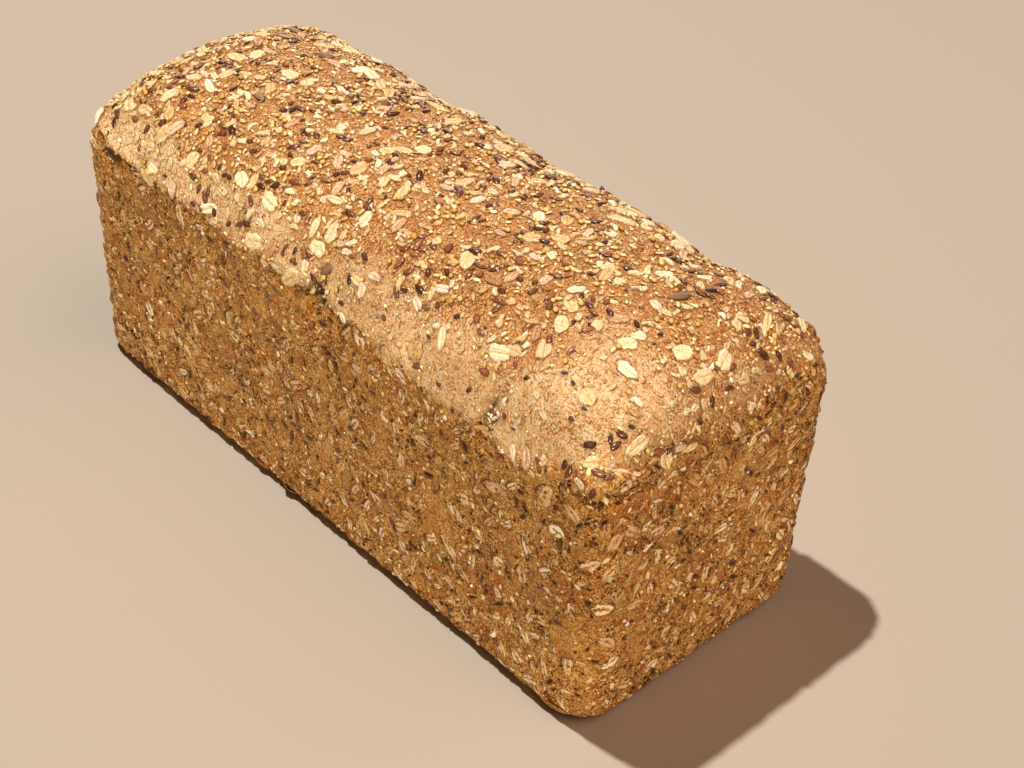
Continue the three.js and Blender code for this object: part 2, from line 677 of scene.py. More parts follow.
@dataclass(frozen=True)
class Crust:
    """The loaf's outer skin, in millimetres: the solid's form with its folds and unevenness."""

    length: float = LENGTH
    width: float = WIDTH
    rim_height: float = 92.0
    lip_height: float = 4.0
    crown_height: float = 37.0
    lip_overhang: float = 0.25
    crease_depth: float = 0.35
    wall_taper: float = 0.8
    foot_radius: float = 5.5
    corner_radius: float = 12.5
    corner_growth: float = 0.82
    wall_corner_growth: float = 0.5
    ring_power: float = 1.9
    fullness: float = 3.3
    shoulder: float = 0.6
    swell: float = 0.8
    swell_length: float = 64.0
    nip_fade: float = 12.0
    nip_pull: float = 0.55
    nip_sink: tuple[float, float] = (0.45, 0.55)
    slow: Unevenness = Unevenness(17.0, 7.7, 0.35, 0.55)
    ragged: Unevenness = Unevenness(5.0, 3.1, 0.3)
    fine: Unevenness = Unevenness(3.0, 1.3, 0.3)
    broad: Unevenness = Unevenness(46.0, 5.2, 0.5, 0.7)
    lip_waver: tuple[float, float] = (1.8, 1.6)
    nips: tuple[Nip, ...] = (
        Nip(-58.0, -46.0, 1.6, 9.0, 0.9),
        Nip(4.0, 22.0, 3.0, 8.0, 4.2),
        Nip(89.0, 95.0, 3.4, 7.0, 2.2),
    )
    pockets: tuple[Pocket, ...] = (
        Pocket(5.0, 103.0, 6.5, 3.0, 3.4),
        Pocket(-122.0, 100.0, 8.0, 3.4, 2.6),
        Pocket(91.0, 100.0, 2.4, 4.5, 2.2),
        Pocket(123.0, 95.0, 5.5, 1.9, 2.4),
        Pocket(136.0, 96.5, 3.6, 2.2, 3.2),
    )
    long_side_lip: tuple[tuple[float, float, float], ...] = (
        (-143.0, 106.0, 0.8),
        (-129.0, 104.0, 1.0),
        (-116.0, 99.0, 1.1),
        (-93.0, 99.0, 0.7),
        (-70.0, 100.5, 0.3),
        (-45.0, 99.0, 0.3),
        (-25.0, 100.5, 0.25),
        (3.0, 101.0, 1.0),
        (11.0, 100.5, 1.0),
        (20.0, 99.5, 0.5),
        (45.0, 98.0, 0.2),
        (66.0, 94.5, 0.15),
        (78.0, 96.0, 0.25),
        (91.0, 95.5, 0.8),
        (100.0, 93.0, 0.3),
        (110.0, 93.5, 0.7),
        (117.0, 95.0, 1.3),
        (130.0, 100.0, 1.3),
        (136.0, 97.0, 1.5),
        (143.0, 99.0, 1.4),
    )
    end_lip: tuple[tuple[float, float, float], ...] = (
        (-56.0, 101.0, 1.4),
        (-50.0, 101.0, 1.0),
        (-42.0, 99.0, 0.35),
        (-10.0, 96.0, 0.25),
        (14.0, 98.0, 0.15),
        (56.0, 103.0, 0.35),
    )
    cells: tuple[int, int, int] = (58, 22, 19)
    foot_steps: int = 3
    lip_steps: int = 2
    finish: CrustFinish = field(default_factory=CrustFinish)

    def wall_inset(self, z: np.ndarray) -> np.ndarray:
        """Gives how far the wall stands behind the lip at height z."""
        return self.lip_overhang + self.wall_taper * (1.0 - z / self.rim_height)

    def side_contour(self, level: np.ndarray) -> tuple[np.ndarray, np.ndarray]:
        """Gives the inset and height of contours up the side.

        Args:
            level: Cell numbers from the base's edge upward.

        Returns:
            Insets and heights.
        """
        wall_steps = self.cells[2] - self.foot_steps - self.lip_steps
        crease = self.foot_steps + wall_steps
        angle = np.clip(level / self.foot_steps, 0.0, 1.0) * (math.pi / 2.0)
        foot_z = self.foot_radius * (1.0 - np.cos(angle))
        part = np.clip((level - self.foot_steps) / wall_steps, 0.0, 1.0)
        wall_z = self.foot_radius + (self.rim_height - self.foot_radius) * part
        z = np.where(level <= self.foot_steps, foot_z, wall_z)
        inset = self.wall_inset(z) + self.foot_radius * (1.0 - np.sin(angle))
        inset = inset + np.where(level == crease, self.crease_depth, 0.0)
        lip = np.clip((level - crease) / self.lip_steps, 0.0, 1.0)
        out = (self.lip_overhang + self.crease_depth) * (1.0 - np.sin(lip * math.pi / 2.0))
        over = level > crease
        return np.where(over, out, inset), np.where(over, self.rim_height + self.lip_height * lip, z)

    def crown_contour(self, ring: np.ndarray) -> tuple[np.ndarray, np.ndarray]:
        """Gives the inset and height of contours over the crown.

        Args:
            ring: Ring numbers inward from the lip.

        Returns:
            Insets and heights.
        """
        inset = self.width / 2.0 * (ring / (self.cells[1] / 2.0)) ** self.ring_power
        across = 1.0 - inset / (self.width / 2.0)
        rise = (1.0 - across**self.fullness) ** self.shoulder
        return inset, self.rim_height + self.lip_height + self.crown_height * rise

    def nip_depth(self, x: np.ndarray, y: np.ndarray) -> np.ndarray:
        """Gives how deeply the dough is drawn in at points of the plan."""
        depth = np.zeros_like(x)
        for nip in self.nips:
            along = nip.left + (nip.right - nip.left) * (y / self.width + 0.5)
            depth += nip.depth * np.exp(-(((x - along) / nip.spread) ** 2))
        return depth

    def form(self, cell: np.ndarray) -> np.ndarray:
        """Places the box's cell corners on the loaf.

        Args:
            cell: Cell numbers along each axis, one corner per row.

        Returns:
            Points in millimetres.
        """
        nx, ny, nz = self.cells
        i, j, k = cell.T.astype(float)
        ring = np.minimum.reduce([i, nx - i, j, ny - j])
        top, base = k == nz, k == 0
        inset, z = self.side_contour(k)
        crown_inset, crown_z = self.crown_contour(ring)
        edge = self.wall_inset(np.zeros(1))[0] + self.foot_radius
        base_inset = edge + (self.width / 2.0 - edge) * ring / (ny / 2.0)
        inset = np.where(top, crown_inset, np.where(base, base_inset, inset))
        z = np.where(top, crown_z, z)
        rings = np.where(top | base, ring, 0.0)
        a = self.length / 2.0 - inset
        b = np.maximum(self.width / 2.0 - inset, 0.0)
        x = (i - nx / 2.0) / (nx / 2.0 - rings) * a
        y = (j - ny / 2.0) / np.maximum(ny / 2.0 - rings, 0.5) * b
        growth = np.where(top, self.corner_growth, self.wall_corner_growth)
        radius = np.minimum(self.corner_radius + growth * inset, b)
        cx = np.clip(x, -(a - radius), a - radius)
        cy = np.clip(y, -(b - radius), b - radius)
        reach = np.maximum(np.hypot(x - cx, y - cy), 1e-9)
        x, y = cx + (x - cx) * radius / reach, cy + (y - cy) * radius / reach

        nip = self.nip_depth(x, y)
        lip_top = self.rim_height + self.lip_height
        fade = smoothstep(z, self.rim_height - self.nip_fade, lip_top)
        side = (np.abs(y) / (self.width / 2.0)) ** 4
        y = y - np.sign(y) * nip * fade * side * self.nip_pull
        z = z - nip * fade * np.where(top, self.nip_sink[0] + self.nip_sink[1] * side, 0.0)
        height = np.maximum(z - lip_top, 0.0) / self.crown_height
        wave = np.sin(2.0 * math.pi * x / self.swell_length + y / 30.0 + 0.9)
        return np.column_stack([x, y, z + self.swell * height * wave])

    def block(self) -> bpy.types.Object:
        """Adds a box and divides it along each axis.

        Returns:
            The divided box, from 0 to 1 along each axis.
        """
        deselect_all()
        bpy.ops.mesh.primitive_cube_add(size=1.0, location=(0.5, 0.5, 0.5))
        piece = bpy.context.object
        piece.name = "crust"
        bpy.ops.object.transform_apply(location=True, rotation=True, scale=True)
        for axis, count in enumerate(self.cells):
            ends = vertex_points(piece.data)[
                np.array([e.vertices for e in piece.data.edges]).reshape(-1)
            ].reshape(-1, 2, 3)
            along = np.abs(ends[:, 0, axis] - ends[:, 1, axis]) > 1e-6
            bpy.ops.object.mode_set(mode="EDIT")
            bpy.ops.mesh.select_mode(type="EDGE")
            bpy.ops.mesh.select_all(action="DESELECT")
            bpy.ops.object.mode_set(mode="OBJECT")
            piece.data.edges.foreach_set("select", along)
            bpy.ops.object.mode_set(mode="EDIT")
            bpy.ops.mesh.subdivide(number_cuts=count - 1)
            bpy.ops.object.mode_set(mode="OBJECT")
        return piece

    def lip_line(self, points: np.ndarray) -> tuple[np.ndarray, np.ndarray]:
        """Gives the height and strength of the fold under the lip.

        Args:
            points: Points in millimetres.

        Returns:
            The fold's height and its strength at each point.
        """
        x, y = points[:, 0], points[:, 1]
        side = np.array(self.long_side_lip).T
        end = np.array(self.end_lip).T
        corner = (self.length - self.width) / 2.0
        on_end = smoothstep(np.abs(x) - np.abs(y), corner - 3.0, corner + 3.0)
        flip = np.where(y > 0.0, -1.0, 1.0)
        side_z = np.interp(x * flip, side[0], side[1])
        side_power = np.interp(x * flip, side[0], side[2]) * np.where(y > 0.0, 0.6, 1.0)
        turn = np.where(x < 0.0, -1.0, 1.0)
        end_z = np.interp(y * turn, end[0], end[1])
        end_power = np.interp(y * turn, end[0], end[2]) * np.where(x < 0.0, 0.7, 1.0)
        z = side_z * (1.0 - on_end) + end_z * on_end
        power = side_power * (1.0 - on_end) + end_power * on_end
        return z, power

    def above_lip(self, points: np.ndarray) -> tuple[np.ndarray, np.ndarray]:
        """Gives how far each point stands above the wavering fold under the lip.

        Args:
            points: Points in millimetres.

        Returns:
            Heights above the fold, and the fold's strength at each point.
        """
        lip_z, power = self.lip_line(points)
        slow, ragged = self.slow.read(points), self.ragged.read(points)
        above = points[:, 2] - lip_z - self.lip_waver[0] * slow - self.lip_waver[1] * ragged
        return above, power

    def work(self, points: np.ndarray, normals: np.ndarray) -> tuple[np.ndarray, np.ndarray]:
        """Works the folds, dents and unevenness into the smooth form.

        Args:
            points: Points of the smooth form, in millimetres.
            normals: Their outward directions.

        Returns:
            The worked points, and how deep in a fold, notch or pocket each one lies, from 0 to 1,
            which the crust's material paints as shade.
        """
        x, y, z = points.T
        lift = np.zeros(len(points))
        # Painted shade share: how deep each point lies in a fold, notch or pocket; the crust's
        # material darkens it.
        hollow_shade = np.zeros(len(points))
        layers = (self.slow, self.ragged, self.fine, self.broad)
        reads = [layer.read(points) for layer in layers]
        slow, ragged = reads[:2]

        off_base = smoothstep(z, 1.0, 9.0)
        crown = smoothstep(z, 96.0, 118.0)
        for layer, read in zip(layers, reads):
            lift += read * (layer.depth + layer.crown_extra * crown) * off_base

        for nip in self.nips:
            along = nip.left + (nip.right - nip.left) * (y / self.width + 0.5)
            away = np.abs(x - along - 2.0 * slow - 1.4 * ragged)
            reach = smoothstep(z, 86.0, 94.0) * smoothstep(-z, -116.0, -103.0)
            reach *= smoothstep(np.abs(y), 42.0, 51.0) * np.where(y < 0.0, 1.0, 0.5)
            fold = np.exp(-((away / 1.9) ** 1.5)) * reach
            lift -= nip.cut * fold
            lift += nip.cut * 0.3 * np.exp(-(((away - 6.0) / 3.0) ** 2)) * reach
            hollow_shade = np.maximum(hollow_shade, smoothstep(fold, 0.35, 0.95) * min(nip.cut / 2.6, 1.0))

        above, power = self.above_lip(points)
        power = np.clip(power * (1.0 + 0.6 * lumps(points, 9.0, 6.6)), 0.0, 1.4)
        notch = np.exp(-((above / 1.6) ** 2)) * power
        lift -= 2.9 * notch
        lift += 1.9 * power * np.exp(-(((above - 3.8) / 2.7) ** 2))
        hollow_shade = np.maximum(hollow_shade, smoothstep(notch, 0.3, 0.9) * 0.95)

        for pocket in self.pockets:
            flip = np.where(y < 0.0, 1.0, -1.0)
            away = ((x * flip - pocket.along + 2.5 * ragged) / pocket.wide) ** 2
            away += ((z - pocket.height + 2.0 * slow + 1.5 * ragged) / pocket.high) ** 2
            hollow = np.exp(-(away**1.5)) * smoothstep(np.abs(y), 40.0, 48.0)
            hollow *= np.where(y < 0.0, 1.0, 0.7)
            lift -= pocket.depth * hollow
            hollow_shade = np.maximum(hollow_shade, smoothstep(hollow, 0.25, 0.85) * 0.9)

        dent = np.clip(lumps(points, 7.5, 11.9) - 0.34, 0.0, 1.0)
        lift -= dent * 1.9 * (1.0 - crown) * off_base
        worked = points + normals * lift[:, None]
        worked[:, 2] = np.maximum(worked[:, 2], 0.0)
        return worked, hollow_shade

    def zones(self, points: np.ndarray, normals: np.ndarray, hollow_shade: np.ndarray) -> np.ndarray:
        """Says what kind of crust each point is.

        Args:
            points: Points in millimetres.
            normals: Outward directions of the smooth form.
            hollow_shade: How deep in a fold, notch or pocket each point lies, which the crust paints
                as shade.

        Returns:
            Crown, pale shoulder, painted hollow shade and redness, each from 0 to 1.
        """
        x, y, z = points.T
        patch = lumps(points, 21.0, 2.2)
        facing = normals[:, 2] + 0.07 * patch
        above, _ = self.above_lip(points)
        half_length, half_width = self.length / 2.0, self.width / 2.0
        turn = half_length - half_width
        on_end = smoothstep(np.abs(x) - np.abs(y), turn - 5.0, turn + 5.0)
        risen = smoothstep(above, -0.3, 2.2) * (1.0 - on_end)
        risen += smoothstep(facing, 0.16, 0.46) * on_end
        crown = risen * smoothstep(z, 92.0, 96.0)
        # Painted shade: near the +X end the crust just below the lip fold loses its crown colour and
        # turns to the wall's darker ochre.
        near_corner_shade = smoothstep(x, 98.0, 112.0)
        crown *= 1.0 - 0.8 * near_corner_shade * smoothstep(-above, -8.5, -3.0)
        strip = 44.0 - 2.5 * smoothstep(x, 0.0, 40.0) - 4.0 * smoothstep(x, 84.0, 110.0)
        front = smoothstep(-y + 5.0 * patch - strip, 0.0, 7.0)
        ends = 0.35 * smoothstep(np.abs(x) + 5.0 * patch, 128.0, 137.0)
        near = smoothstep(x, 92.0, 114.0) * smoothstep(-y, 6.0, 26.0)
        pale = np.maximum(np.maximum(front, ends), 0.85 * near)
        pale *= crown
        # Painted shade: there the pale shoulder also fades out below the fold.
        pale *= 1.0 - 0.95 * near_corner_shade * smoothstep(-above, -11.0, -5.0)
        pale = np.clip(pale * (0.9 + 0.4 * patch), 0.0, 1.0)
        foot = smoothstep(-z, -26.0, 0.0)
        beyond = np.abs(x) - half_length + np.abs(y) - half_width
        corner = smoothstep(beyond, -16.0, -4.0) * (1.0 - crown)
        red = np.clip(0.3 * foot + 0.3 * corner + 0.3 * patch * (1.0 - crown), 0.0, 0.9)
        return np.column_stack([crown, pale, hollow_shade, red])

    def build(self) -> "Skin":
        """Models the crust and gives it its finish.

        Returns:
            The finished crust with the data that the seeds are set by.
        """
        piece = self.block()
        mesh = piece.data
        cell = np.rint(vertex_points(mesh) * np.array(self.cells))
        mesh.vertices.foreach_set("co", (self.form(cell) * MM).ravel())
        mesh.update()
        smooth = piece.modifiers.new("smooth", "SUBSURF")
        smooth.levels = smooth.render_levels = 2
        deselect_all()
        piece.select_set(True)
        bpy.context.view_layer.objects.active = piece
        bpy.ops.object.modifier_apply(modifier=smooth.name)
        bpy.ops.object.shade_smooth()

        mesh = piece.data
        points = vertex_points(mesh) / MM
        normals = np.empty(len(mesh.vertices) * 3)
        mesh.vertex_normals.foreach_get("vector", normals)
        normals = normals.reshape(-1, 3)
        worked, hollow_shade = self.work(points, normals)
        mesh.vertices.foreach_set("co", (worked * MM).ravel())
        mesh.update()
        zone = mesh.color_attributes.new(self.finish.layer, "FLOAT_COLOR", "POINT")
        zones = self.zones(points, normals, hollow_shade)
        zone.data.foreach_set("color", zones.ravel())
        mesh.materials.clear()
        mesh.materials.append(self.finish.build())
        return Skin(piece, worked, normals, zones)


class Skin:
    """The finished crust as the seeds see it: places, directions and zones."""

    def __init__(
        self,
        piece: bpy.types.Object,
        points: np.ndarray,
        normals: np.ndarray,
        zones: np.ndarray,
    ) -> None:
        """Reads the faces' centres, areas and directions.

        Args:
            piece: The crust.
            points: Its vertices, in millimetres.
            normals: Outward directions of its smooth form.
            zones: Crown, pale shoulder, painted hollow shade and redness of each vertex.
        """
        self.piece = piece
        mesh = piece.data
        corners = np.empty(len(mesh.loops), dtype=np.int64)
        mesh.loops.foreach_get("vertex_index", corners)
        quads = corners.reshape(-1, 4)
        self.centre = points[quads].mean(1)
        self.normal = normals[quads].mean(1)
        self.normal /= np.linalg.norm(self.normal, axis=1, keepdims=True)
        self.zone = zones[quads].mean(1)
        first = points[quads[:, 2]] - points[quads[:, 0]]
        second = points[quads[:, 3]] - points[quads[:, 1]]
        self.area = np.linalg.norm(np.cross(first, second), axis=1) / 2.0
        patch = 1.0 + 0.8 * lumps(self.centre, 19.0, 9.4) + 0.55 * lumps(self.centre, 8.0, 4.1)
        self.patch = np.clip(patch, 0.12, 2.2) * (1.0 - 0.15 * self.centre[:, 0] / (LENGTH / 2.0))
        self.tree = BVHTree.FromPolygons(points.tolist(), quads.tolist())


# ---------------------------------------------------------------------------
# Seeds and flakes
# ---------------------------------------------------------------------------


class Outline(Enum):
    """The base form a seed is shaped from."""

    DISC = "disc"
    GLOBE = "globe"
    CHIP = "chip"
    CRATER = "crater"


@dataclass(frozen=True)
class Cover:
    """How many of a kind lie on each part of the loaf, per square centimetre."""

    crown: float
    shoulder: float
    wall: float
    base: float
    fold: float = 0.0


@dataclass(frozen=True)
class SeedShape:
    """One variant of a seed as arrays: points, share of painted shade, flat map and faces."""

    points: np.ndarray
    painted_shade: np.ndarray
    flat: np.ndarray
    corners: np.ndarray
    starts: np.ndarray


def take_shape(piece: bpy.types.Object, points: np.ndarray, painted_shade: np.ndarray) -> SeedShape:
    """Takes a modelled shape as arrays and removes its object.

    Args:
        piece: The object whose faces are taken.
        points: Its points in millimetres.
        painted_shade: The share of painted shade at each point.

    Returns:
        The shape.
    """
    mesh = piece.data
    span = np.abs(points[:, :2]).max(0) * 2.0
    corners = np.empty(len(mesh.loops), dtype=np.int64)
    mesh.loops.foreach_get("vertex_index", corners)
    starts = np.empty(len(mesh.polygons), dtype=np.int64)
    mesh.polygons.foreach_get("loop_start", starts)
    take_away(piece)
    return SeedShape(points, painted_shade, points[:, :2] / span + 0.5, corners, starts)


def rings_of(points: np.ndarray, sides: int) -> tuple[np.ndarray, np.ndarray]:
    """Gives each point's distance from the axis and its place round it.

    Args:
        points: Points round the vertical axis.
        sides: Number of places round it.

    Returns:
        Distances, and place numbers from 0.
    """
    reach = np.hypot(points[:, 0], points[:, 1])
    angle = np.arctan2(points[:, 1], points[:, 0])
    return reach, np.rint(angle / (2.0 * math.pi / sides)).astype(int) % sides


@dataclass(frozen=True)
class SeedKind:
    """One kind of seed or flake, with its sizes in millimetres and how it is set in the crust."""

    name: str
    slot: str
    outline: Outline
    length: float
    width: float
    height: float
    cover: Cover
    finish: CrustFinish | FlakeFinish | SeedFinish
    variants: int = 3
    spread: float = 0.15
    ragged: float = 0.0
    point: float = 0.0
    sides: int = 12
    tilt: float = 6.0
    sink: float = 0.35
    stiff: float = 0.35
    room: float = 0.9
    collared: bool = False
    clump: float = 0.0

    def disc(self, rng: np.random.Generator) -> tuple[bpy.types.Object, np.ndarray, np.ndarray]:
        """Models a rolled flake: a crowned, grooved face, a thick edge and an underside.

        Args:
            rng: Where its chance features come from.

        Returns:
            The flake, its points for a radius of 1 and a thickness of 1, and their share of painted
            shade, full on the underside.
        """
        bpy.ops.mesh.primitive_circle_add(vertices=self.sides, radius=0.92, fill_type="NGON")
        piece = bpy.context.object
        bpy.ops.object.mode_set(mode="EDIT")
        bpy.ops.mesh.select_all(action="SELECT")
        bpy.ops.mesh.inset(thickness=0.22)
        bpy.ops.mesh.inset(thickness=0.32)
        bpy.ops.mesh.poke()
        for wider in (1.09, 0.9):
            bpy.ops.mesh.select_all(action="SELECT")
            bpy.ops.mesh.region_to_loop()
            bpy.ops.mesh.extrude_edges_move(TRANSFORM_OT_translate={"value": (0.0, 0.0, -0.5)})
            bpy.ops.transform.resize(value=(wider, wider, 1.0))
        bpy.ops.object.mode_set(mode="OBJECT")
        co = vertex_points(piece.data)
        reach, turn = rings_of(co, self.sides)
        low = co[:, 2] < -0.75
        edge = (co[:, 2] < -0.25) & ~low
        around = np.arange(self.sides) * 2.0 * math.pi / self.sides
        rough = rng.normal(0.0, self.ragged, self.sides)
        for lobes in (2, 3):
            rough += 0.7 * self.ragged * np.cos(lobes * around + rng.uniform(0.0, 6.3))
        rough[rng.integers(self.sides)] -= 2.4 * self.ragged
        grow = 1.0 + rough[turn] * np.minimum(reach, 1.0)
        co[:, :2] *= grow[:, None]
        curl = rng.normal(0.0, 0.2, self.sides)[turn]
        crease = rng.normal(0.0, 0.16, len(co))
        bend = 0.22 * np.cos(around - rng.uniform(0.0, 6.3))[turn] * reach
        face = np.where(reach > 0.8, 0.8 + curl, np.where(reach > 0.2, 0.95 + crease, 0.85))
        groove = (np.abs(co[:, 1]) < 0.18) & (reach < 0.75)
        face = np.where(groove, face - 0.38, face)
        co[:, 2] = np.where(low, -0.55, np.where(edge, 0.4 + 0.5 * curl, face) + bend)
        # Painted shade share: full on the underside, some on the thick edge.
        return piece, co, np.where(low, 1.0, np.where(edge, 0.3, 0.0))

    def globe(self, rng: np.random.Generator) -> tuple[bpy.types.Object, np.ndarray, np.ndarray]:
        """Models a plump seed, pointed at one end where its kind is.

        Args:
            rng: Where its chance features come from.

        Returns:
            The seed, its points for a radius of 1, and their share of painted shade, full
            underneath.
        """
        rings = max(5, self.sides - 2)
        turned = (0.0, math.pi / 2.0, 0.0)
        bpy.ops.mesh.primitive_uv_sphere_add(
            segments=self.sides, ring_count=rings, radius=1.0, rotation=turned
        )
        piece = bpy.context.object
        bpy.ops.object.transform_apply(location=True, rotation=True, scale=True)
        co = vertex_points(piece.data)
        # Painted shade share: the lower half is darkened.
        painted_shade = smoothstep(-co[:, 2], -0.62, 0.1)
        ahead = (0.5 + 0.5 * co[:, 0]) ** 2
        co[:, 1] *= 1.0 - self.point * ahead
        co[:, 2] *= 1.0 - self.point * 0.6 * ahead
        co += rng.normal(0.0, self.ragged * 0.5, co.shape)
        return piece, co * (1.0, 1.0, 0.5), painted_shade

    def chip(self, rng: np.random.Generator) -> tuple[bpy.types.Object, np.ndarray, np.ndarray]:
        """Models a broken grain or crumb with uneven faces.

        Args:
            rng: Where its chance features come from.

        Returns:
            The chip, its points for a radius of about 1, and their share of painted shade, full
            underneath.
        """
        finer = 2 if self.sides > 12 else 1
        bpy.ops.mesh.primitive_ico_sphere_add(subdivisions=finer, radius=1.0)
        piece = bpy.context.object
        co = vertex_points(piece.data)
        # Painted shade share: the lower part is darkened.
        painted_shade = smoothstep(-co[:, 2], -0.1 if finer == 2 else -0.2, 0.6)
        co *= 1.0 + rng.normal(0.0, max(self.ragged, 0.05) * 2.0, (len(co), 1))
        return piece, co * (1.0, 1.0, 0.5), painted_shade

    def crater(self, rng: np.random.Generator) -> tuple[bpy.types.Object, np.ndarray, np.ndarray]:
        """Models a burst bubble: a hollow with a raised ring of crust that fades into the rest.

        Args:
            rng: Where its chance features come from.

        Returns:
            The hollow, its points for a radius of 1 and a ring height of 1, and its share of painted
            shade, darkest at the bottom.
        """
        bpy.ops.mesh.primitive_circle_add(vertices=self.sides, radius=1.0, fill_type="NGON")
        piece = bpy.context.object
        bpy.ops.object.mode_set(mode="EDIT")
        bpy.ops.mesh.select_all(action="SELECT")
        bpy.ops.mesh.inset(thickness=0.4)
        bpy.ops.mesh.poke()
        bpy.ops.mesh.select_all(action="SELECT")
        bpy.ops.mesh.region_to_loop()
        bpy.ops.mesh.extrude_edges_move(TRANSFORM_OT_translate={"value": (0.0, 0.0, -0.5)})
        bpy.ops.transform.resize(value=(1.8, 1.8, 1.0))
        bpy.ops.object.mode_set(mode="OBJECT")
        co = vertex_points(piece.data)
        reach, turn = rings_of(co, self.sides)
        rough = rng.normal(0.0, 0.13, self.sides)[turn]
        co[:, :2] *= (1.0 + rough * np.minimum(reach, 1.0))[:, None]
        high = 0.55 + 0.45 * np.cos(turn * 2.0 * math.pi / self.sides - rng.uniform(0.0, 6.3))
        ring = (reach > 0.8) & (reach < 1.35)
        co[:, 2] = np.where(ring, high, np.where(reach > 1.35, -0.5, 0.12))
        # Painted shade share: darkest at the bottom of the hollow, slight on the ring.
        return piece, co, np.where(ring, 0.12, np.where(reach > 1.35, 0.0, 0.95))

    def shape(self, rng: np.random.Generator) -> SeedShape:
        """Models one variant and takes its mesh as arrays.

        Args:
            rng: Where its chance features come from.

        Returns:
            The variant's shape in millimetres.
        """
        deselect_all()
        make = {
            Outline.DISC: self.disc,
            Outline.GLOBE: self.globe,
            Outline.CHIP: self.chip,
            Outline.CRATER: self.crater,
        }[self.outline]
        piece, points, painted_shade = make(rng)
        size = (self.length / 2.0, self.width / 2.0, self.height)
        return take_shape(piece, points * size, painted_shade)

    def collar(self, rng: np.random.Generator, high_side: float) -> SeedShape:
        """Models the crust that swells round a flake pressed into it.

        Args:
            rng: Where its chance features come from.
            high_side: Angle of the side where the crust stands highest, the crevice is widest and
                its painted shade darkest.

        Returns:
            The collar's shape in millimetres, from the crevice out to the crust, with the crevice's
            share of painted shade.
        """
        deselect_all()
        bpy.ops.mesh.primitive_circle_add(vertices=self.sides, radius=1.0, fill_type="NOTHING")
        piece = bpy.context.object
        bpy.ops.object.mode_set(mode="EDIT")
        for _ in range(3):
            bpy.ops.mesh.extrude_edges_move(TRANSFORM_OT_translate={"value": (0.0, 0.0, -1.0)})
        bpy.ops.object.mode_set(mode="OBJECT")
        co = vertex_points(piece.data)
        level = np.rint(-co[:, 2]).astype(int)
        _, turn = rings_of(co, self.sides)
        near = 0.5 + 0.5 * np.cos(turn * 2.0 * math.pi / self.sides - high_side)
        high = 0.12 + 0.8 * near**1.5 + rng.normal(0.0, 0.06, self.sides)[turn]
        margin = np.array([-0.4, 0.05, 0.4, 1.8])[level]
        margin = margin + np.array([0.0, 0.35, 0.75, 0.5])[level] * near**2
        margin = margin + np.where(level == 3, rng.normal(0.0, 0.2, self.sides)[turn], 0.0)
        round_x, round_y = co[:, 0].copy(), co[:, 1].copy()
        co[:, 0] = round_x * (self.length / 2.0 + margin)
        co[:, 1] = round_y * (self.width / 2.0 + margin)
        co[:, 2] = np.choose(level, [-0.45, 0.12, high, -0.3])
        # Painted shade: the crevice is darkened, most on the high side under the raised crust.
        depth = np.choose(level, [0.5 + 0.5 * near, 0.15 + 0.85 * near, 0.0, 0.0])
        return take_shape(piece, co, depth)


class Ground:
    """Remembers where seeds lie, so that the next ones find room."""

    def __init__(self, cell: float = 6.0) -> None:
        """Starts with nothing set.

        Args:
            cell: Size of the cells that seeds are kept in, in millimetres.
        """
        self.cell = cell
        self.kept: dict[tuple[int, int, int], list[tuple[float, float, float, float]]] = {}

    def key(self, point: Sequence[float]) -> tuple[int, int, int]:
        """Gives the cell that holds a point."""
        return tuple(int(math.floor(c / self.cell)) for c in point)

    def fits(self, point: Sequence[float], radius: float, room: float) -> bool:
        """Says whether a seed has room.

        Args:
            point: The seed's place, in millimetres.
            radius: Its radius.
            room: The share of the two radii that must stay free.

        Returns:
            True when nothing lies too close.
        """
        i, j, k = self.key(point)
        x, y, z = point
        for a in (i - 1, i, i + 1):
            for b in (j - 1, j, j + 1):
                for c in (k - 1, k, k + 1):
                    for px, py, pz, pr in self.kept.get((a, b, c), ()):
                        gap = room * (radius + pr)
                        if (x - px) ** 2 + (y - py) ** 2 + (z - pz) ** 2 < gap * gap:
                            return False
        return True

    def keep(self, point: Sequence[float], radius: float) -> None:
        """Adds a seed that has been set."""
        self.kept.setdefault(self.key(point), []).append((*point, radius))


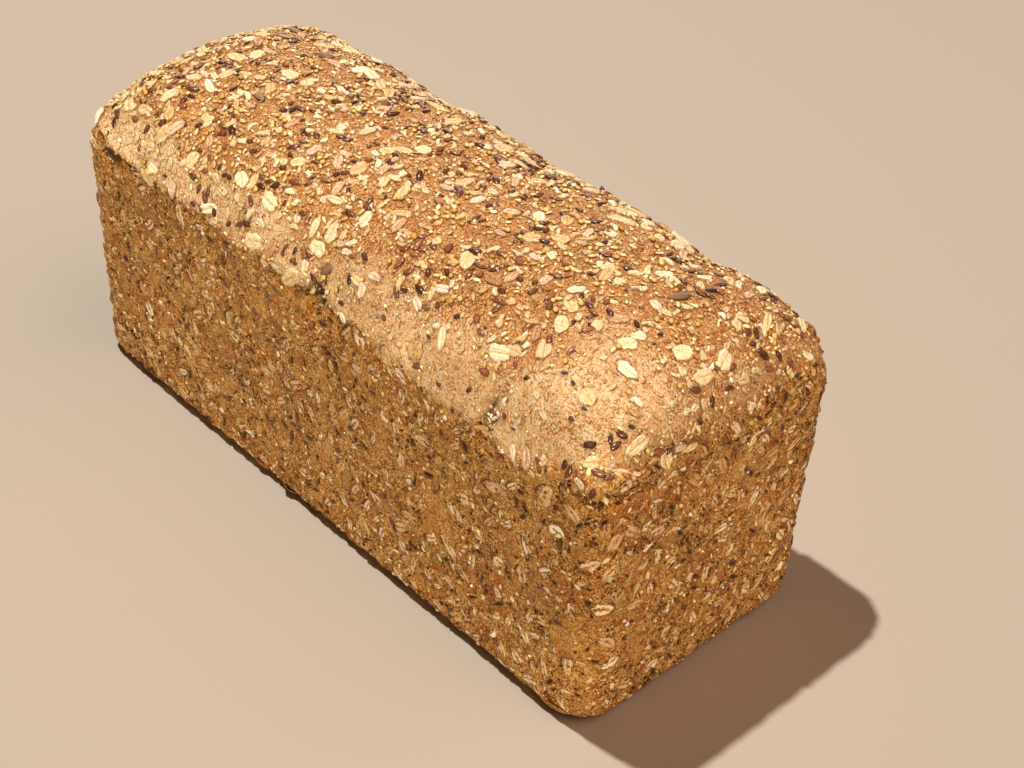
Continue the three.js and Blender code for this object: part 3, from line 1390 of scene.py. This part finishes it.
class MeshPile:
    """Gathers many placed shapes into one mesh."""

    def __init__(self) -> None:
        """Starts empty."""
        self.points: list[np.ndarray] = []
        self.corners: list[np.ndarray] = []
        self.starts: list[np.ndarray] = []
        self.colours: list[np.ndarray] = []
        self.flats: list[np.ndarray] = []
        self.base = 0
        self.loops = 0

    def add(self, shape: SeedShape, points: np.ndarray, colours: np.ndarray) -> None:
        """Adds one shape.

        Args:
            shape: The shape whose faces are used.
            points: Its points in place, in millimetres.
            colours: A colour for each point.
        """
        self.points.append(points)
        self.corners.append(shape.corners + self.base)
        self.starts.append(shape.starts + self.loops)
        self.colours.append(colours)
        self.flats.append(shape.flat[shape.corners])
        self.base += len(points)
        self.loops += len(shape.corners)

    def build(self, name: str, layer: str, material: bpy.types.Material) -> bpy.types.Object:
        """Makes one piece of everything gathered.

        Args:
            name: The piece's name.
            layer: The colour attribute's name.
            material: The piece's material.

        Returns:
            The piece.
        """
        mesh = bpy.data.meshes.new(name)
        points = np.concatenate(self.points)
        points[:, 2] = np.maximum(points[:, 2], 0.02)
        mesh.vertices.add(self.base)
        mesh.vertices.foreach_set("co", (points * MM).ravel())
        mesh.loops.add(self.loops)
        corners = np.concatenate(self.corners).astype(np.int32)
        mesh.loops.foreach_set("vertex_index", corners)
        starts = np.concatenate(self.starts).astype(np.int32)
        mesh.polygons.add(len(starts))
        mesh.polygons.foreach_set("loop_start", starts)
        mesh.update(calc_edges=True)
        mesh.polygons.foreach_set("use_smooth", np.ones(len(starts), dtype=bool))
        colour = mesh.color_attributes.new(layer, "FLOAT_COLOR", "POINT")
        colour.data.foreach_set("color", np.concatenate(self.colours).ravel())
        flat = mesh.uv_layers.new(name=FLAT_MAP)
        flat.data.foreach_set("uv", np.concatenate(self.flats).ravel())
        mesh.validate()
        mesh.materials.append(material)
        piece = bpy.data.objects.new(name, mesh)
        bpy.context.scene.collection.objects.link(piece)
        return piece


@dataclass(frozen=True)
class Scatter:
    """Sets one kind of seed after another into the crust, large ones first."""

    skin: Skin
    ground: Ground
    collars: MeshPile
    seed: int = 20
    tries_each: int = 3
    bends_from: float = 2.5
    collar_wall: float = 0.4
    collar_turns: int = 8

    def weight(self, cover: Cover) -> np.ndarray:
        """Gives the wanted number of seeds on each face of the crust.

        Args:
            cover: Numbers per square centimetre on each part.

        Returns:
            One number per face.
        """
        centre, normal, zone = self.skin.centre, self.skin.normal, self.skin.zone
        crown, pale, fold = zone[:, 0], zone[:, 1], zone[:, 2]
        bare = smoothstep(pale, 0.3, 0.8) * (0.45 + 0.55 * smoothstep(centre[:, 0], -20.0, 30.0))
        base = smoothstep(-normal[:, 2], 0.5, 0.9)
        end = smoothstep(np.abs(normal[:, 0]), 0.5, 0.9)
        low = smoothstep(-centre[:, 2], -30.0, -6.0)
        wall = (1.0 - crown) * (1.0 - base) * (1.0 + 0.5 * end + 0.5 * low)
        crown_part = crown * (1.0 - bare)
        amount = (
            cover.crown * crown_part
            + cover.shoulder * crown * bare
            + cover.wall * wall
            + cover.base * base
        )
        amount *= self.skin.patch * (1.0 - 0.8 * fold)
        return (amount + cover.fold * fold) * self.skin.area / 100.0

    def places(
        self, kind: SeedKind, rng: np.random.Generator
    ) -> tuple[np.ndarray, np.ndarray, np.ndarray]:
        """Chooses where the seeds of one kind lie.

        Args:
            kind: The kind of seed.
            rng: Where the choice comes from.

        Returns:
            Faces, places and sizes of the seeds.
        """
        weight = self.weight(kind.cover)
        if kind.clump > 0.0:
            crowd = lumps(self.skin.centre, 9.0, len(kind.name) * 2.3)
            clumped = weight * np.exp(5.0 * kind.clump * crowd)
            weight = clumped * weight.sum() / clumped.sum()
        wanted = int(round(weight.sum()))
        tries = rng.choice(len(weight), size=wanted * self.tries_each, p=weight / weight.sum())
        size = np.exp(np.clip(rng.normal(0.0, kind.spread, len(tries)), -1.0, 0.3))
        shake = rng.uniform(-0.6, 0.6, (len(tries), 3))
        faces, points, sizes = [], [], []
        radius = 0.25 * (kind.length + kind.width)
        for face, scale, move in zip(tries.tolist(), size.tolist(), shake):
            if len(faces) == wanted:
                break
            spot = self.skin.centre[face] + move
            near = self.skin.tree.find_nearest(spot.tolist())[0]
            if near is None:
                continue
            point = tuple(near)
            if not self.ground.fits(point, radius * scale, kind.room):
                continue
            self.ground.keep(point, radius * scale)
            faces.append(face)
            points.append(point)
            sizes.append(scale)
        return np.array(faces), np.array(points), np.array(sizes)

    def turned(
        self, normals: np.ndarray, kind: SeedKind, rng: np.random.Generator
    ) -> np.ndarray:
        """Gives each seed its own directions.

        Args:
            normals: Outward directions of the crust under the seeds.
            kind: The kind of seed.
            rng: Where the turns come from.

        Returns:
            Three directions per seed: along it, across it and out of the crust.
        """
        upright = 0.35 + 0.65 * smoothstep(normals[:, 2], 0.1, 0.5)
        lean = math.tan(math.radians(kind.tilt)) * 0.6 * upright[:, None]
        out = normals + rng.normal(0.0, 1.0, normals.shape) * lean
        out /= np.linalg.norm(out, axis=1, keepdims=True)
        side = np.cross(out, rng.normal(0.0, 1.0, normals.shape))
        side /= np.linalg.norm(side, axis=1, keepdims=True)
        return np.stack([side, np.cross(out, side), out], axis=1)

    def settle(
        self, points: np.ndarray, place: np.ndarray, out: np.ndarray, stiff: float
    ) -> np.ndarray:
        """Bends a flake to the crust under it.

        Args:
            points: The flake's points in place, in millimetres.
            place: The flake's centre.
            out: Its outward direction.
            stiff: How much of its own form it keeps.

        Returns:
            The bent points.
        """
        height = (points - place) @ out
        under = points - height[:, None] * out
        near = [self.skin.tree.find_nearest(p)[0] for p in under.tolist()]
        drop = (np.array([tuple(p) for p in near]) - under) @ out
        return points + (np.clip(drop, -2.5, 1.5) * (1.0 - stiff))[:, None] * out

    def lift(self, kind: SeedKind, scale: float, wall: float) -> float:
        """Gives how far a seed's middle stands out of the crust.

        Args:
            kind: The kind of seed.
            scale: The seed's own size.
            wall: 1 on the walls, where all is pressed flush, and 0 on the crown.

        Returns:
            The distance in millimetres.
        """
        if kind.outline is Outline.CRATER:
            return 0.0
        if kind.outline is Outline.DISC:
            return kind.height * scale * (0.25 - 1.0 * wall)
        return kind.height * scale * (0.5 - kind.sink - 0.28 * wall)

    def build(self, kind: SeedKind, number: int) -> bpy.types.Object:
        """Sets all the seeds of one kind and dresses them.

        Args:
            kind: The kind of seed.
            number: The kind's number, which keeps its chances apart from the others'.

        Returns:
            One piece with every seed of the kind.
        """
        rng = np.random.default_rng(self.seed + number)
        shapes = [kind.shape(rng) for _ in range(kind.variants)]
        turns = self.collar_turns if kind.collared else 0
        rings = [kind.collar(rng, n * 2.0 * math.pi / turns) for n in range(turns)]
        faces, places, sizes = self.places(kind, rng)
        axes = self.turned(self.skin.normal[faces], kind, rng)
        zone = self.skin.zone[faces]
        hue = rng.uniform(0.0, 1.0, len(faces))
        bright = np.clip(rng.normal(0.72, 0.2, len(faces)), 0.0, 1.0)
        wall = 1.0 - zone[:, 0]
        baked = np.clip(wall * 0.85 * rng.uniform(0.0, 1.0, len(faces)) ** 2.6, 0.0, 1.0)
        choice = rng.integers(kind.variants, size=len(faces))
        tilts = rng.normal(0.0, 0.6, len(faces))
        crusty = kind.outline is Outline.CRATER
        flat = kind.outline in (Outline.DISC, Outline.CRATER)

        pile = MeshPile()
        for n in range(len(faces)):
            shape = shapes[choice[n]]
            out = axes[n, 2]
            points = shape.points * sizes[n] @ axes[n] + places[n]
            points = points + out * self.lift(kind, sizes[n], wall[n])
            if flat and kind.length > self.bends_from:
                points = self.settle(points, places[n], out, kind.stiff * (1.0 - 0.7 * wall[n]))
            tint = np.empty((len(points), 4))
            tint[:] = (hue[n], bright[n], 0.0, baked[n])
            if crusty:
                tint[:] = zone[n]
            # The third channel is painted shade: under a seed, or at the bottom of a hollow.
            tint[:, 2] = shape.painted_shade
            pile.add(shape, points, tint)
            if rings and wall[n] > self.collar_wall:
                upward = math.atan2(axes[n, 1, 2], axes[n, 0, 2]) + tilts[n]
                ring = rings[int(round(upward * turns / (2.0 * math.pi))) % turns]
                around = ring.points * (sizes[n], sizes[n], 1.0) @ axes[n] + places[n]
                around = self.settle(around, places[n], out, 0.0)
                blend = np.empty((len(around), 4))
                blend[:] = zone[n]
                # The crevice's painted shade goes in the third channel.
                blend[:, 2] = ring.painted_shade
                self.collars.add(ring, around, blend)
        material = self.skin.piece.data.materials[0] if crusty else kind.finish.build()
        piece = pile.build(kind.name, kind.finish.layer, material)
        log.info("%s: %d set", kind.name, len(faces))
        return piece


# The third colour of each flake finish, like the edge colour of each seed finish, is painted shade
# under its edge.
CREAM_FLAKE = FlakeFinish("oat_flake", (248, 222, 162), (204, 150, 84), (62, 32, 14), 0.45)
PINK_FLAKE = FlakeFinish("rye_flake", (238, 194, 152), (182, 122, 82), (60, 30, 15), 0.7)
BAKED_FLAKE = FlakeFinish("baked_flake", (255, 232, 190), (218, 166, 112), (40, 19, 7), 0.55)

KINDS: tuple[SeedKind, ...] = (
    SeedKind(
        "oat_flakes", "oat_flake", Outline.DISC, 6.7, 5.1, 0.75,
        Cover(0.27, 0.02, 0.06, 0.04), CREAM_FLAKE,
        variants=7, ragged=0.09, sides=16, spread=0.18, tilt=7.0, room=0.75, collared=True,
    ),
    SeedKind(
        "sunflower_kernels", "sunflower_kernel", Outline.GLOBE, 8.6, 4.3, 2.2,
        Cover(0.02, 0.0, 0.0, 0.0),
        SeedFinish("sunflower_kernel", (190, 152, 112), (132, 96, 66), 0.5),
        point=0.55, sides=10, variants=2, tilt=5.0,
    ),
    SeedKind(
        "long_flakes", "oat_flake", Outline.DISC, 7.4, 3.0, 0.7,
        Cover(0.14, 0.05, 0.2, 0.08), CREAM_FLAKE,
        variants=5, ragged=0.09, sides=14, spread=0.2, tilt=7.0, room=0.75, collared=True,
    ),
    SeedKind(
        "rye_flakes", "rye_flake", Outline.DISC, 6.2, 3.1, 0.9,
        Cover(0.17, 0.03, 0.15, 0.08), PINK_FLAKE,
        variants=4, ragged=0.06, tilt=6.0, spread=0.2, room=0.8, collared=True,
    ),
    SeedKind(
        "pressed_flakes", "rye_flake", Outline.DISC, 5.8, 3.1, 0.6,
        Cover(0.05, 0.03, 0.34, 0.15), BAKED_FLAKE,
        variants=5, ragged=0.1, tilt=6.0, spread=0.28, room=0.85, collared=True,
    ),
    SeedKind(
        "broken_oats", "oat_flake", Outline.DISC, 3.5, 2.3, 0.65,
        Cover(1.45, 0.25, 0.55, 0.2), CREAM_FLAKE,
        variants=9, ragged=0.22, sides=10, spread=0.34, tilt=13.0, room=0.7, collared=True,
        clump=0.15,
    ),
    # Crevices and burst bubbles: raised crust round hollows whose bottoms are painted dark as shade.
    SeedKind(
        "crevices", "crust", Outline.CRATER, 4.8, 1.4, 0.9,
        Cover(0.0, 0.0, 0.7, 0.3), CrustFinish(),
        variants=5, sides=10, spread=0.35, tilt=0.0, room=0.7, stiff=0.0, clump=0.15,
    ),
    SeedKind(
        "burst_bubbles", "crust", Outline.CRATER, 2.5, 1.4, 0.7,
        Cover(0.15, 0.1, 0.75, 0.3), CrustFinish(),
        variants=5, sides=10, spread=0.35, tilt=0.0, room=0.85, stiff=0.0, clump=0.2,
    ),
    SeedKind(
        "linseed", "linseed", Outline.GLOBE, 4.2, 2.3, 1.2,
        Cover(1.0, 0.05, 0.12, 0.06),
        SeedFinish(
            "linseed", (164, 100, 58), (84, 42, 20), 0.24, 0.6, edge=(24, 11, 5)
        ),
        point=0.5, sides=8, variants=2, tilt=9.0, sink=0.15, room=0.7, clump=0.6,
    ),
    SeedKind(
        "popped_grain", "crumb", Outline.CHIP, 2.1, 1.35, 0.85,
        Cover(0.85, 0.14, 0.3, 0.1, 3.5),
        SeedFinish(
            "popped_grain", (255, 242, 206), (236, 196, 130), 0.8, 0.25, grain=1.8, depth=0.4
        ),
        ragged=0.19, variants=6, sides=14, spread=0.3, tilt=20.0, sink=0.15, room=0.6, clump=0.5,
    ),
    SeedKind(
        "kibbled_grain", "kibbled_grain", Outline.CHIP, 3.0, 2.0, 1.3,
        Cover(0.6, 0.12, 0.3, 0.12),
        SeedFinish("kibbled_grain", (150, 88, 50), (84, 42, 20), 0.6, 0.35, edge=(36, 18, 8)),
        ragged=0.1, variants=4, spread=0.3, tilt=18.0, sink=0.22, room=0.7,
    ),
    SeedKind(
        "millet", "millet", Outline.GLOBE, 2.0, 1.85, 1.7,
        Cover(0.9, 0.15, 0.08, 0.08),
        SeedFinish("millet", (248, 208, 118), (222, 170, 80), 0.42, 0.45),
        sides=8, variants=1, spread=0.12, sink=0.25, room=0.75, clump=0.5,
    ),
    SeedKind(
        "sesame", "sesame", Outline.GLOBE, 2.7, 1.65, 0.85,
        Cover(2.3, 0.4, 0.5, 0.2),
        SeedFinish("sesame", (255, 230, 168), (220, 170, 100), 0.5, 0.4),
        point=0.5, sides=7, variants=2, spread=0.18, tilt=10.0, sink=0.1, room=0.7, clump=0.3,
    ),
    SeedKind(
        "crumbs", "crumb", Outline.CHIP, 1.25, 0.9, 0.75,
        Cover(12.5, 4.0, 2.4, 0.8, 6.0),
        SeedFinish("pale_crumb", (255, 236, 182), (228, 178, 106), 0.8, 0.25),
        ragged=0.16, variants=5, spread=0.4, tilt=20.0, sink=0.2, room=0.55, clump=0.2,
    ),
    SeedKind(
        "bran_slivers", "crumb", Outline.CHIP, 2.6, 0.75, 0.55,
        Cover(2.4, 1.6, 1.4, 0.5),
        SeedFinish("bran_sliver", (244, 200, 136), (184, 120, 64), 0.75, 0.25),
        ragged=0.12, variants=4, spread=0.35, tilt=14.0, sink=0.15, room=0.5,
    ),
    SeedKind(
        "torn_edges", "crust", Outline.CHIP, 3.2, 0.9, 0.8,
        Cover(0.02, 0.02, 0.02, 0.0, 11.0),
        SeedFinish("torn_crust", (255, 238, 204), (230, 182, 124), 0.8, 0.25),
        ragged=0.16, variants=5, spread=0.4, tilt=25.0, sink=0.1, room=0.4,
    ),
)


# ---------------------------------------------------------------------------
# The stage
# ---------------------------------------------------------------------------


@dataclass(frozen=True)
class Fill:
    """One broad soft lamp, so far off that its light is even over the whole set."""

    name: str
    azimuth: float
    elevation: float
    strength: float
    colour: tuple[float, float, float]
    spread: float
    on_floor: bool


@dataclass(frozen=True)
class Studio:
    """A plain pale floor, a high lamp, soft fill lamps and the camera."""

    floor_radius: float = 3.2
    floor_colour: tuple[float, float, float] = (203, 188, 167)
    camera_place: tuple[float, float, float] = (0.38777, -0.34068, 0.43605)
    camera_azimuth: float = 45.128
    camera_elevation: float = 37.766
    camera_roll: float = 3.327
    focal_length: float = 60.59
    key_place: tuple[float, float, float] = (-0.247, -0.12, 1.3)
    key_power: float = 33.5
    key_size: float = 0.018
    fills: tuple[Fill, ...] = (
        Fill("fill_front", 41.0, 30.0, 2.65, (1.0, 0.91, 0.78), 8.0, False),
        Fill("fill_side", 115.0, 52.0, 0.92, (1.0, 0.7, 0.56), 50.0, True),
        Fill("fill_back", 225.0, 12.0, 1.5, (1.0, 0.93, 0.84), 50.0, False),
    )
    room_colour: tuple[float, float, float] = (1.0, 0.66, 0.48)
    room_strength: float = 0.08
    backdrop_colour: tuple[float, float, float] = (196, 172, 148)

    def floor(self) -> None:
        """Lays the floor."""
        deselect_all()
        bpy.ops.mesh.primitive_circle_add(vertices=128, radius=self.floor_radius, fill_type="NGON")
        plane = bpy.context.object
        plane.name = "floor"
        s = Shader("floor")
        s.body.inputs["Base Color"].default_value = linear(*self.floor_colour)
        s.body.inputs["Roughness"].default_value = 0.95
        s.body.inputs["Specular IOR Level"].default_value = 0.1
        plane.data.materials.append(s.material)

    def key(self) -> None:
        """Hangs the high lamp, with no falloff, as if it were larger and farther off."""
        light = bpy.data.lights.new("key", "POINT")
        light.energy = self.key_power
        light.shadow_soft_size = self.key_size
        light.use_nodes = True
        nodes = light.node_tree.nodes
        even = nodes.new("ShaderNodeLightFalloff")
        even.inputs["Strength"].default_value = 1.0
        emission = nodes["Emission"]
        light.node_tree.links.new(even.outputs["Constant"], emission.inputs["Strength"])
        lamp = bpy.data.objects.new("key", light)
        lamp.location = self.key_place
        bpy.context.scene.collection.objects.link(lamp)

    def fill(self, fill: Fill, loaf_only: bpy.types.Collection) -> None:
        """Hangs one fill lamp.

        Args:
            fill: The lamp.
            loaf_only: What a lamp that leaves the floor alone shines on.
        """
        light = bpy.data.lights.new(fill.name, "SUN")
        light.energy = fill.strength
        light.color = fill.colour
        light.angle = math.radians(fill.spread)
        lamp = bpy.data.objects.new(fill.name, light)
        lamp.rotation_euler = (math.radians(90.0 - fill.elevation), 0.0, math.radians(fill.azimuth))
        lamp.location = (0.0, 0.0, 1.0)
        if not fill.on_floor:
            lamp.light_linking.receiver_collection = loaf_only
        bpy.context.scene.collection.objects.link(lamp)

    def room(self) -> None:
        """Sets the room's own weak light and the pale backdrop past the floor."""
        world = bpy.data.worlds.new("room")
        world.use_nodes = True
        nodes, links = world.node_tree.nodes, world.node_tree.links
        light = nodes["Background"]
        light.inputs["Color"].default_value = (*self.room_colour, 1.0)
        light.inputs["Strength"].default_value = self.room_strength
        backdrop = nodes.new("ShaderNodeBackground")
        backdrop.inputs["Color"].default_value = linear(*self.backdrop_colour)
        seen = nodes.new("ShaderNodeLightPath")
        either = nodes.new("ShaderNodeMixShader")
        links.new(seen.outputs["Is Camera Ray"], either.inputs["Fac"])
        links.new(light.outputs["Background"], either.inputs[1])
        links.new(backdrop.outputs["Background"], either.inputs[2])
        links.new(either.outputs["Shader"], nodes["World Output"].inputs["Surface"])
        bpy.context.scene.world = world

    def camera(self) -> None:
        """Places the camera."""
        a = math.radians(self.camera_azimuth)
        e = math.radians(self.camera_elevation)
        r = math.radians(self.camera_roll)
        back = Vector((math.sin(a) * math.cos(e), -math.cos(a) * math.cos(e), math.sin(e)))
        level = Vector((0.0, 0.0, 1.0)).cross(back).normalized()
        upright = back.cross(level)
        right = math.cos(r) * level + math.sin(r) * upright
        up = math.cos(r) * upright - math.sin(r) * level
        data = bpy.data.cameras.new("camera")
        data.lens = self.focal_length
        data.sensor_width = 36.0
        data.clip_end = 50.0
        camera = bpy.data.objects.new("camera", data)
        turn = Matrix((right, up, back)).transposed().to_4x4()
        camera.matrix_world = Matrix.Translation(self.camera_place) @ turn
        bpy.context.scene.collection.objects.link(camera)
        bpy.context.scene.camera = camera

    def build(self, pieces: Sequence[bpy.types.Object]) -> None:
        """Sets up the whole stage.

        Args:
            pieces: The loaf's pieces.
        """
        loaf_only = bpy.data.collections.new("loaf_only")
        for piece in pieces:
            loaf_only.objects.link(piece)
        self.floor()
        self.key()
        for fill in self.fills:
            self.fill(fill, loaf_only)
        self.room()
        self.camera()
        bpy.context.scene.view_settings.view_transform = "Standard"
        bpy.context.scene.view_settings.look = "None"


def main() -> None:
    """Builds the loaf, its seeds and the stage in order."""
    logging.basicConfig(level=logging.INFO, format="%(message)s")
    skin = Crust().build()
    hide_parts(LOAF_NODE)
    log.info("crust: %d faces", len(skin.piece.data.polygons))
    pieces = [skin.piece]
    scatter = Scatter(skin, Ground(), MeshPile())
    for number, kind in enumerate(KINDS):
        piece = scatter.build(kind, number)
        pieces.append(piece)
    collars = scatter.collars.build("flake_collars", ZONE_LAYER, skin.piece.data.materials[0])
    log.info("flake_collars: %d faces", len(collars.data.polygons))
    pieces.append(collars)
    for piece in pieces:
        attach(piece, ROOT)
    Studio().build(pieces)


if __name__ == "__main__":
    main()
